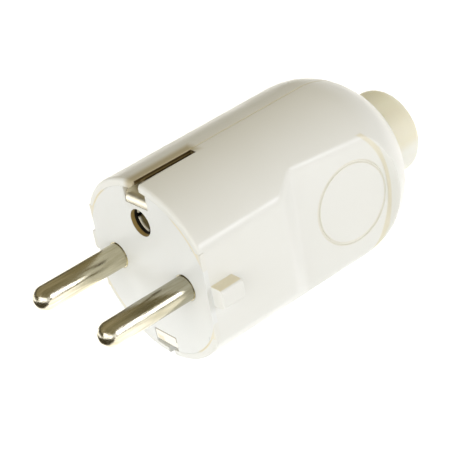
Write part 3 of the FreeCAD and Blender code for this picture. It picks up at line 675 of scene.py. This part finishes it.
def grown(name, tree, ids, values):
    # runs a tree on an empty object and keeps the result as a plain mesh
    piece = linked(name, bpy.data.meshes.new(name))
    growth = piece.modifiers.new("growth", "NODES")
    growth.node_group = tree
    for label, value in values.items():
        growth[ids[label]] = value
    plainMesh(piece)
    faceOutwards(piece.data)
    return piece


def pick(tree, test, low, high):
    node = tree.nodes.new("ShaderNodeMix")
    node.data_type = "FLOAT"  # its number sockets are 0, 2 and 3
    feed(tree, node.inputs[0], test)
    feed(tree, node.inputs[2], low)
    feed(tree, node.inputs[3], high)
    return node.outputs[0]


turnedSteps = {"nose": 24, "run": 6, "round": 72}


def turnedSkin(tree, count, places, radii, axis):
    # closed skin round an axis through a row of places, each with its radius
    line = newNode(tree, "GeometryNodeCurvePrimitiveLine", {"End": axis})
    dense = newNode(tree, "GeometryNodeResampleCurve", {"Curve": line.outputs[0], "Count": count})
    spot = newNode(tree, "GeometryNodeSetPosition", {"Geometry": dense.outputs[0], "Position": places})
    size = newNode(tree, "GeometryNodeSetCurveRadius", {"Curve": spot.outputs[0], "Radius": radii})
    hoop = newNode(tree, "GeometryNodeCurvePrimitiveCircle", {"Resolution": turnedSteps["round"], "Radius": 1})
    skin = newNode(tree, "GeometryNodeCurveToMesh", {
        "Curve": size.outputs[0], "Profile Curve": hoop.outputs[0], "Fill Caps": True,
        "Scale": newNode(tree, "GeometryNodeInputRadius").outputs[0]})
    closed = newNode(tree, "GeometryNodeMergeByDistance", {
        "Geometry": skin.outputs[0], "Distance": smallLengths["tip"]})
    return closed.outputs[0]


def rowOf(tree, index, places, radii, rest):
    # from each number on, the next place and radius of the rest hold
    for number, (place, radius) in enumerate(rest, start=1):
        behind = sums(tree, "GREATER_THAN", index, number - 0.5)
        places = pick(tree, behind, places, place)
        radii = pick(tree, behind, radii, radius)
    return places, radii


# the two pins

pinSize = {
    "Radius": 2.4, "Reach": 18.99, "Shank Radius": 2.6, "Collar Radius": 3.5, "Collar Front": 9.8,
    "Collar Back": 11.0, "Barrel Radius": 3.1, "Barrel Back": 19.5, "Spacing": 19.0,
}
pinLook = {
    "pale": (0.76, 0.72, 0.60), "deep": (0.56, 0.52, 0.40), "stainScale": 1800, "stainStretch": (1, 0.08, 1),
    "tints": [
        {"low": (-20, -7, -20), "high": (20, 30, 20), "soft": 8, "share": 0.9,
         "dulls": False, "way": "MULTIPLY", "colour": (0.82, 0.81, 0.72)},  # darker towards the face, over the rear half
        {"low": (9, -9, -20), "high": (20, 30, 20), "soft": 8, "share": 0.9,
         "dulls": False, "way": "MULTIPLY", "colour": (0.76, 0.77, 0.8)},  # painted shade, the right pin darker than the left
    ],
    "smooth": 0.15, "dull": 0.27, "grainScale": 5000, "grainStretch": (1.0, 0.05, 1.0), "grainDepth": 1.0,
}
pinNickel = drawnMetal("pin_nickel", pinLook)


def pinTree():
    labels = {label: "Float" for label in pinSize}
    tree, given, sink, ids = newTree("turned_pins", {**labels, "Material": "Material"})
    nose, run = turnedSteps["nose"], turnedSteps["run"]
    hair = smallLengths["step"]
    back = [
        (0.0, given["Shank Radius"]), (given["Collar Front"], given["Shank Radius"]),
        (sums(tree, "ADD", given["Collar Front"], hair), given["Collar Radius"]),
        (given["Collar Back"], given["Collar Radius"]),
        (sums(tree, "ADD", given["Collar Back"], hair), given["Barrel Radius"]),
        (given["Barrel Back"], given["Barrel Radius"]),
    ]
    index = tree.nodes.new("GeometryNodeInputIndex").outputs[0]
    bend = sums(tree, "MULTIPLY", sums(tree, "DIVIDE", index, nose, clamp=True), math.pi / 2)
    along = sums(tree, "DIVIDE", sums(tree, "SUBTRACT", index, nose), run, clamp=True)
    noseShare = sums(tree, "SUBTRACT", 1.0, sums(tree, "COSINE", bend))
    noseRise = sums(tree, "MULTIPLY", given["Radius"], noseShare)
    straight = sums(tree, "SUBTRACT", sums(tree, "SUBTRACT", given["Reach"], given["Radius"]), hair)
    front = sums(tree, "SUBTRACT", sums(tree, "MULTIPLY_ADD", along, straight, noseRise), given["Reach"])
    frontRadius = sums(tree, "MULTIPLY", given["Radius"], sums(tree, "SINE", bend))
    step = sums(tree, "SUBTRACT", index, nose + run)
    places, radii = rowOf(tree, step, front, frontRadius, back)
    skin = turnedSkin(tree, nose + run + len(back) + 1, triple(tree, y=places), radii, (0, 1, 0))
    half = sums(tree, "MULTIPLY", given["Spacing"], -0.5)
    copies = copyAlong(tree, skin, 2, triple(tree, x=half), triple(tree, x=given["Spacing"]))
    endTree(tree, copies, given["Material"], sink)
    return tree, ids


pinNodes, pinIds = pinTree()
pinValues = {label: size * millimetre for label, size in pinSize.items()}
pins = grown("contact_pins", pinNodes, pinIds, {**pinValues, "Material": pinNickel})
finishPiece(pins, pinNickel, "pins", "pin_right", "pin_left")
print("pins grown:", len(pins.data.polygons), "faces")


# slotted screws in pairs, each set standing on the underside of its heads

screwSets = {
    "cover_screws": {
        "node": "shell_screws", "Count": 2, "First": (-7, 28, -8.816), "Step": (0, 0, 17.632),
        "Turn": (0, -90, 0), "Shank Radius": 1.5, "Length": 14, "Head Radius": 2.8, "Head Height": 2.0},
    "wire_screws": {
        "node": "terminal_screws", "Count": 2, "First": (-9.5, 15.5, 3.2), "Step": (19, 0, 0),
        "Turn": (0, 0, 0), "Shank Radius": 1.5, "Length": 2.25, "Head Radius": 2.6, "Head Height": 1.8},
    "back_screws": {
        "node": "plate_screws", "Count": 2, "First": (-7.5, 12.6, -10.12), "Step": (15, 0, 20.24),
        "Turn": (-90, 0, 0), "Shank Radius": 1.1, "Length": 7, "Head Radius": 2.1, "Head Height": 1.4},
    "saddle_screws": {
        "node": "cord_clamp_screws", "Count": 2, "First": (-6.2, 39, -8.2), "Step": (0, 0, 16.4),
        "Turn": (0, -90, 0), "Shank Radius": 1.3, "Length": 12, "Head Radius": 2.6, "Head Height": 1.9},
    "earth_screw": {
        "node": "earth_terminal_screw", "Count": 1, "First": (0, 14.6, -3), "Step": (0, 0, 0),
        "Turn": (-90, 0, 0), "Shank Radius": 1.5, "Length": 5.2, "Head Radius": 2.6, "Head Height": 1.8},
}
slotSize = {"Slot Width": 0.8, "Slot Depth": 0.9}
screwForm = {  # shares of the shank's radius, the head's height and radius, and the slot's depth
    "tip": 0.6, "side": 0.62, "shoulder": 0.86, "shoulderRadius": 0.95, "topRadius": 0.78,
    "barLength": 3, "barDepth": 2, "tipTaper": 0.6,  # the last in millimetres
}
screwLook = {
    "pale": (0.62, 0.62, 0.62), "deep": (0.50, 0.50, 0.49), "stainScale": 260,
    "smooth": 0.24, "dull": 0.42, "grainScale": 500, "grainStretch": (1, 1, 1), "grainDepth": 0.1,
}
screwZinc = drawnMetal("screw_zinc", screwLook)
screwLengths = ("Shank Radius", "Length", "Head Radius", "Head Height")
screwKinds = {"First": "Vector", "Step": "Vector", "Turn": "Vector", "Count": "Int", "Material": "Material"}


def screwTree():
    labels = {label: "Float" for label in (*screwLengths, *slotSize)}
    tree, given, sink, ids = newTree("slotted_screws", {**screwKinds, **labels})
    headRadius, headHeight = given["Head Radius"], given["Head Height"]
    tip = sums(tree, "MULTIPLY", given["Length"], -1)

    def share(whole, label):
        return sums(tree, "MULTIPLY", whole, screwForm[label])

    row = [
        (tip, share(given["Shank Radius"], "tip")),
        (sums(tree, "ADD", tip, screwForm["tipTaper"] * millimetre), given["Shank Radius"]),
        (-smallLengths["step"], given["Shank Radius"]), (0.0, headRadius),
        (share(headHeight, "side"), headRadius),
        (share(headHeight, "shoulder"), share(headRadius, "shoulderRadius")),
        (headHeight, share(headRadius, "topRadius")),
    ]
    index = tree.nodes.new("GeometryNodeInputIndex").outputs[0]
    places, radii = rowOf(tree, index, *row[0], row[1:])
    skin = turnedSkin(tree, len(row), triple(tree, z=places), radii, (0, 0, 1))
    length, depth = share(headRadius, "barLength"), share(given["Slot Depth"], "barDepth")
    bar = newNode(tree, "GeometryNodeMeshCube", {"Size": triple(tree, given["Slot Width"], length, depth)})
    raised = newNode(tree, "GeometryNodeTransform", {
        "Geometry": bar.outputs[0], "Translation": triple(tree, z=headHeight)})
    slotted = newNode(tree, "GeometryNodeMeshBoolean", {"Mesh 1": skin, "Mesh 2": raised.outputs[0]})
    slotted.operation = "DIFFERENCE"
    turn = tree.nodes.new("FunctionNodeEulerToRotation")
    tree.links.new(given["Turn"], turn.inputs[0])
    copies = copyAlong(tree, slotted.outputs[0], given["Count"], given["First"], given["Step"],
                       turn.outputs[0])
    endTree(tree, copies, given["Material"], sink)
    return tree, ids


def screwValues(choice):
    values = {"Material": screwZinc, "Count": choice["Count"]}
    values["Turn"] = [math.radians(angle) for angle in choice["Turn"]]
    for label in ("First", "Step"):
        values[label] = [length * millimetre for length in choice[label]]
    for label in screwLengths:
        values[label] = choice[label] * millimetre
    for label, length in slotSize.items():
        values[label] = length * millimetre
    return values


screwNodes, screwIds = screwTree()
for name, choice in screwSets.items():
    screws = grown(name, screwNodes, screwIds, screwValues(choice))
    finishPiece(screws, screwZinc, "screws", choice["node"])
    print(name, "grown:", len(screws.data.polygons), "faces")


# pieces that take their form from the CAD nodes

def mergedCopy(name, node):
    # copy of a node, with its loose triangles joined
    mesh = nodes[node].data.copy()
    reshape(mesh, lambda form: bmesh.ops.remove_doubles(form, verts=form.verts, dist=smallLengths["weld"]))
    return linked(name, mesh)


def smoothPiece(name, node, material, slot):
    piece = mergedCopy(name, node)
    finishPiece(piece, material, slot, node)
    piece.modifiers["even"].weight = 100  # the flats stay flat


# the end of each earth strip folds back over itself below the slot

foldShape = {
    "halfWidth": 3.0, "front": 0.08, "foot": 13.45, "top": 16.3, "thickness": 0.5, "back": 12.5,
    "bend": 2.6, "lowBend": 0.8, "runStart": 0.25,
    "beadRise": 0.95, "beadLow": 0.12, "beadHigh": 1.58, "beadStart": 1.6, "beadGrow": 1.6,
    "beadFacing": 0.5, "beadPower": 4, "columns": 61, "bendSteps": 14, "runSteps": 12,
}
stripLook = {
    "pale": (0.95, 0.91, 0.79), "deep": (0.90, 0.85, 0.71), "stainScale": 90,
    "tints": [
        {"low": (-4, -1, -17), "high": (4, 3, -12), "soft": 0.5, "share": 0.85,
         "colour": (0.97, 0.95, 0.88)},  # lower end, pale from the floor
        {"low": (-2.4, -1, -15.7), "high": (-1.0, 1, -14.9), "soft": 0.3, "share": 0.5,
         "colour": (0.85, 0.74, 0.46)},  # stain on it
        {"low": (-4, -1, -13.7), "high": (4, 1, -13), "soft": 0.08, "share": 0.9,
         "colour": (0.16, 0.125, 0.06)},  # painted shadow in the gap above it
        {"low": (2.8, -1, -14.6), "high": (4, 1, -13), "soft": 0.08, "share": 0.9,
         "colour": (0.16, 0.125, 0.06)},  # painted shadow in the gap beside it
    ],
    "smooth": 0.28, "dull": 0.36, "grainScale": 900, "grainStretch": (1.0, 0.06, 1.0), "grainDepth": 0.03,
}
stripMetal = drawnMetal("strip_metal", stripLook)


def foldPath(shape, bend):
    # side view of the fold as places and outward directions
    front, top = shape["front"], shape["top"]
    path = [((front, shape["foot"]), (-1, 0))]
    for step in range(shape["bendSteps"] + 1):
        angle = math.pi / 2 * step / shape["bendSteps"]
        out = (-math.cos(angle), math.sin(angle))
        path.append(((front + bend + bend * out[0], top - bend + bend * out[1]), out))
    for y in np.linspace(front + bend + shape["runStart"], shape["back"], shape["runSteps"]):
        path.append(((y, top), (0, 1)))
    return path


def foldForm(shape, level):
    # outer and inner sheet of the fold, closed round its edges
    across = np.linspace(-shape["halfWidth"], shape["halfWidth"], shape["columns"])
    middle = (shape["beadLow"] + shape["beadHigh"]) / 2
    reach = (shape["beadHigh"] - shape["beadLow"]) / 2
    bead = shape["beadRise"] * np.clip(1 - np.abs((across - middle) / reach) ** shape["beadPower"], 0, 1)
    path = foldPath(shape, shape["bend" if level > 0 else "lowBend"])
    form = bmesh.new()
    rows = []
    for inset in (0, shape["thickness"]):
        for (y, z), (outY, outZ) in path:
            along = (y - shape["beadStart"]) / shape["beadGrow"]
            share = min(max(along, 0), 1) if outZ > shape["beadFacing"] else 0
            lift = bead * share * share * (3 - 2 * share)
            rows.append([
                form.verts.new((x, y - outY * inset, level * (z - outZ * inset + rise)))
                for x, rise in zip(across, lift)
            ])
    count = len(path)
    outer, inner = rows[:count], rows[count:]
    for sheet in (outer, inner):
        for lower, upper in zip(sheet, sheet[1:]):
            for quad in zip(lower, lower[1:], upper[1:], upper):
                form.faces.new(quad)
    for near, far in ((outer[0], inner[0]), (outer[-1], inner[-1]),
                      ([row[0] for row in outer], [row[0] for row in inner]),
                      ([row[-1] for row in outer], [row[-1] for row in inner])):
        for quad in zip(near, near[1:], far[1:], far):
            form.faces.new(quad)
    bmesh.ops.recalc_face_normals(form, faces=form.faces)
    return form


def earthStrips():
    piece = mergedCopy("earth_strips", "earth_bracket")
    folds = [toolObject("fold", [foldForm(foldShape, level)]) for level in (1, -1)]
    carve(piece, [("UNION", fold) for fold in folds])
    finishPiece(piece, stripMetal, "earth", "earth_bracket")


earthStrips()
print("earth strips folded")


# insert, earth contact and sleeve

insertLook = {
    "pale": (0.835, 0.862, 0.872), "deep": (0.82, 0.843, 0.848), "cloudScale": 60,
    "tints": [
        {"about": aboutBody, "low": (16.6, 0.05, 0.55), "high": (18, 12, 0.69), "soft": 0.12, "share": 0.9,
         "colour": (0.82, 0.73, 0.48)},  # painted shade, tan on the rim that faces the cover
        {"about": aboutEarthHole, "low": (-1, 0.12, -1), "high": (2.75, 12, 1), "soft": 0.1,
         "colour": (0.46, 0.33, 0.12)},  # painted shade, tan-brown on the mouth of the earth hole
        {"about": aboutEarthHole, "low": (-1, 0.95, -1), "high": (3.6, 12, 1), "soft": 0.2,
         "colour": (0.012, 0.009, 0.006)},  # painted shade, near black in the depth of the earth hole
        {"low": (-3.2, 0.5, 13), "high": (3.2, 12, 17), "soft": 0.6, "share": 0.5,
         "colour": (0.55, 0.47, 0.28)},  # painted shade, tan in the channel of the earth strip
    ],
    "smooth": 0.3, "dull": 0.42, "glossScale": 220, "skinScale": 1400, "skinDepth": 0.1,
}
contactLook = {
    "pale": (0.92, 0.84, 0.60), "deep": (0.80, 0.70, 0.46), "stainScale": 200,
    "smooth": 0.32, "dull": 0.48, "grainScale": 340, "grainStretch": (1, 6, 1), "grainDepth": 0.15,
    "tints": [
        {"about": aboutEarthHole, "low": (2.3, 3.1, -1), "high": (3.2, 14, 1), "soft": 0.2,
         "colour": (0.02, 0.015, 0.008)},  # painted shade, near black in the depth of the contact
        {"about": aboutEarthHole, "low": (2.3, 2.1, -1), "high": (3.2, 2.95, 1), "soft": 0.15,
         "colour": (0.28, 0.215, 0.09)},  # painted shade, a brown band behind its front edge
        {"about": aboutEarthHole, "low": (2.3, 1.5, -1), "high": (3.2, 1.82, 1), "soft": 0.07,
         "colour": (1, 0.96, 0.8)},  # painted highlight on its front edge
    ],
}
sleeveLook = {
    "pale": (0.91, 0.89, 0.75), "deep": (0.88, 0.855, 0.70), "cloudScale": 70,
    "tints": [
        {"low": (-20, 50, 6), "high": (3, 70, 20), "soft": 3,
         "colour": (0.99, 0.985, 0.82)},  # painted light, paler above
        {"low": (7.5, 50, -20), "high": (20, 70, -1), "soft": 2.5, "share": 0.9,
         "colour": (0.92, 0.94, 0.90)},  # painted light, less yellow on the right
    ],
    "smooth": 0.38, "dull": 0.52, "glossScale": 260, "skinScale": 1100, "skinDepth": 0.12,
    "depth": 0.15, "bleed": (3.2, 2.6, 1.5),
}
insertPlastic = mouldedPlastic("insert_plastic", insertLook)
contactBrass = drawnMetal("contact_brass", contactLook)
sleevePlastic = mouldedPlastic("sleeve_plastic", sleeveLook)

shownPieces = [
    ("face_insert", "pin_carrier", insertPlastic, "insert"),
    ("earth_contact", "earth_socket", contactBrass, "contact"),
    ("cord_sleeve", "cord_grommet", sleevePlastic, "sleeve"),
]
for name, node, material, slot in shownPieces:
    smoothPiece(name, node, material, slot)
print("outer pieces made")


# nodes inside the cover keep their shape and get a finish

plateLook = {
    "pale": (0.42, 0.41, 0.39), "deep": (0.36, 0.35, 0.33), "cloudScale": 80,
    "smooth": 0.4, "dull": 0.55, "glossScale": 260, "skinScale": 1400, "skinDepth": 0.12,
    "depth": 0.05, "bleed": (0.8, 0.6, 0.4),
}
platePlastic = mouldedPlastic("plate_plastic", plateLook)

innerNodes = {
    "socket_spring": screwZinc, "back_plate": platePlastic, "earth_terminal_washer": screwZinc,
    "earth_terminal_nut": screwZinc, "cord_clamp": platePlastic, "shell_inserts": contactBrass,
}
for name, material in innerNodes.items():
    nodes[name].data.materials.clear()
    nodes[name].data.materials.append(material)
print("inner nodes dressed")


# floor, light and camera

stageLook = {
    "floorSize": 2.0, "floorGap": 0.0002, "floorColour": (0.9, 0.9, 0.9, 1), "glow": 0.8, "mirrorGlow": 0.4,
    "fill": 1.1, "background": 1.0, "aim": (0, 0.02, 0),
}


def sheetMesh(name, low, high):
    # level or upright rectangle between two opposite corners
    (xLow, yLow, zLow), (xHigh, yHigh, zHigh) = low, high
    if zLow == zHigh:
        corners = [low, (xHigh, yLow, zLow), high, (xLow, yHigh, zLow)]
    else:
        corners = [low, (xHigh, yHigh, zLow), high, (xLow, yLow, zHigh)]
    mesh = bpy.data.meshes.new(name)
    mesh.from_pydata(corners, [], [(0, 1, 2, 3)])
    return mesh


def seenOrNot(tree, seen, other, surface):
    # one shader where the camera, a reflection or a clear piece looks, another for the light given off
    path = tree.nodes.new("ShaderNodeLightPath").outputs
    looked = sums(tree, "MAXIMUM", path["Is Camera Ray"], path["Is Glossy Ray"])
    choose = tree.nodes.new("ShaderNodeMixShader")
    tree.links.new(sums(tree, "MAXIMUM", looked, path["Is Transmission Ray"]), choose.inputs["Fac"])
    tree.links.new(other.outputs[0], choose.inputs[1])
    tree.links.new(seen.outputs[0], choose.inputs[2])
    tree.links.new(choose.outputs[0], surface)


def paleFloor():
    # white to the camera, a little brighter in the metal, plain paper to all other light
    material, tree, surface = emptyMaterial("floor_paper")
    matt = newNode(tree, "ShaderNodeBsdfDiffuse", {"Color": stageLook["floorColour"]})
    mirrored = newNode(tree, "ShaderNodeLightPath").outputs["Is Glossy Ray"]
    level = sums(tree, "MULTIPLY_ADD", mirrored, stageLook["mirrorGlow"], stageLook["glow"])
    glow = newNode(tree, "ShaderNodeEmission", {"Strength": level})
    both = tree.nodes.new("ShaderNodeAddShader")
    tree.links.new(matt.outputs[0], both.inputs[0])
    tree.links.new(glow.outputs[0], both.inputs[1])
    seenOrNot(tree, both, matt, surface)
    return material


half = stageLook["floorSize"] / 2
floorHeight = cadLow.z - stageLook["floorGap"]
floor = linked("floor", sheetMesh("floor", (-half, -half, floorHeight), (half, half, floorHeight)))
floor.data.materials.append(paleFloor())

world = bpy.data.worlds.new("studio")
world.use_nodes = True
scene.world = world
worldTree = world.node_tree
worldTree.nodes.clear()
worldOut = worldTree.nodes.new("ShaderNodeOutputWorld")
fill, white = (
    newNode(worldTree, "ShaderNodeBackground", {"Color": (1, 1, 1, 1), "Strength": stageLook[label]})
    for label in ("fill", "background"))
seenOrNot(worldTree, white, fill, worldOut.inputs["Surface"])

lamps = {
    "cornerLamp": {"place": (0.45, -0.45, 0.16), "size": 0.4, "power": 0.6},
    "rearLamp": {"place": (0.58, 0.31, 0.18), "size": 0.22, "power": 1.0, "colour": (0.97, 0.99, 1.1)},
    "frontLamp": {"place": (0.10, -0.66, 0.20), "size": 0.4, "power": 1.1},
}


def addLamp(name, look):
    data = bpy.data.lights.new(name, "AREA")
    data.shape = "SQUARE"
    data.size = look["size"]
    data.energy = look["power"]
    data.color = look.get("colour", (1, 1, 1))
    lamp = linked(name, data)
    lamp.location = look["place"]
    aim = Vector(stageLook["aim"]) - lamp.location
    lamp.rotation_mode = "QUATERNION"
    lamp.rotation_quaternion = aim.to_track_quat("-Z", "Y")


for name, look in lamps.items():
    addLamp(name, look)

# a dim warm ceiling that lights the part, its mirror image and dark flags that only the metal shows
cards = {
    "ceilingLeft": {"glow": (0.37, 0.325, 0.21), "low": (-0.9, -0.9, 0.5), "high": (0.0, 0.9, 0.5)},
    "ceilingRight": {"glow": (0.385, 0.325, 0.19), "low": (0.0, -0.9, 0.5), "high": (1.2, 0.9, 0.5)},
    "mirrorLeft": {"glow": (0.31, 0.265, 0.155), "low": (-0.9, -0.9, 0.49), "high": (0.0, 0.9, 0.49)},
    "mirrorRight": {"glow": (0.28, 0.245, 0.145), "low": (0.0, -0.9, 0.49), "high": (1.2, 0.9, 0.49)},
    "flagLeft": {"glow": (0.09, 0.078, 0.047), "low": (-0.9, -0.9, 0.06), "high": (-0.9, 0.9, 0.5)},
    "flagFront": {"glow": (0.12, 0.104, 0.06), "low": (-0.9, -0.9, -0.01), "high": (0.3, -0.9, 0.5)},
    "flagBelow": {"glow": (0.075, 0.063, 0.037), "low": (-0.06, -0.3, -0.018), "high": (0.3, -0.0275, -0.018)},
    "flagSide": {"glow": (0.09, 0.078, 0.047), "low": (0.16, 0.0, -0.018), "high": (0.6, 0.4, -0.018)},
}


def addCard(name, look):
    felt, tree, surface = emptyMaterial(name)
    glow = newNode(tree, "ShaderNodeEmission", {"Color": (*look["glow"], 1)})
    tree.links.new(glow.outputs[0], surface)
    card = linked(name, sheetMesh(name, look["low"], look["high"]))
    card.data.materials.append(felt)
    card.visible_camera = False
    card.visible_shadow = False
    card.visible_diffuse = name.startswith("ceiling")
    card.visible_glossy = not card.visible_diffuse


for name, look in cards.items():
    addCard(name, look)

viewpoint = {
    "place": (0.192328, -0.122388, 0.138107), "turn": (59.2516, 9.3602, 48.2121),
    "lens": 117.3913, "sensor": 36, "nearest": 0.01,
}
cameraData = bpy.data.cameras.new("camera")
cameraData.lens = viewpoint["lens"]
cameraData.sensor_width = viewpoint["sensor"]
cameraData.clip_start = viewpoint["nearest"]
camera = linked("camera", cameraData)
camera.location = viewpoint["place"]
camera.rotation_euler = [math.radians(angle) for angle in viewpoint["turn"]]
scene.camera = camera
scene.view_settings.view_transform = "Standard"
print("stage set")

bpy.context.view_layer.update()
